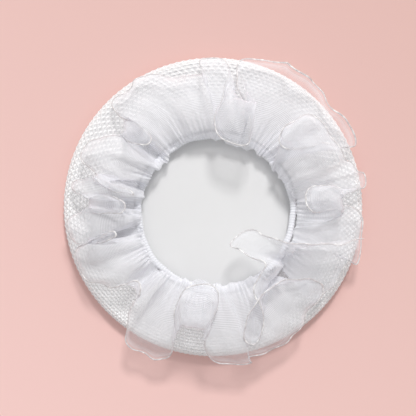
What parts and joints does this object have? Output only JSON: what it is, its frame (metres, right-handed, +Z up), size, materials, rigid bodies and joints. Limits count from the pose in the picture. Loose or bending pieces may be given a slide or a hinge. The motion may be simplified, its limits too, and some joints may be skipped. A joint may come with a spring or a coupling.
{
  "type": "bun hairnet on display disc",
  "caption": "Knitted bun net drawn over a flat round disc, with a gathered elastic opening and a wide sheer organza ruffle sewn round it.",
  "frame": {"origin": "under the middle of the net, on the surface the disc lies on", "axes": "+Z up out of the opening, +X and +Y across the disc; the ribbon's cut ends lie at about -30 degrees from +X"},
  "size_m": [0.1196, 0.1197, 0.0279],
  "materials": {
    "knit_white": "matt knit",
    "board_white": "smooth matt",
    "elastic_white": "ribbed satin",
    "organza_white": "sheer with a shiny edge"
  },
  "bodies": {
    "root": {"net_pouch": "knit_white", "display_disc": "board_white", "elastic_band": "elastic_white", "organza_ruffle": "organza_white"}
  },
  "joints": []
}
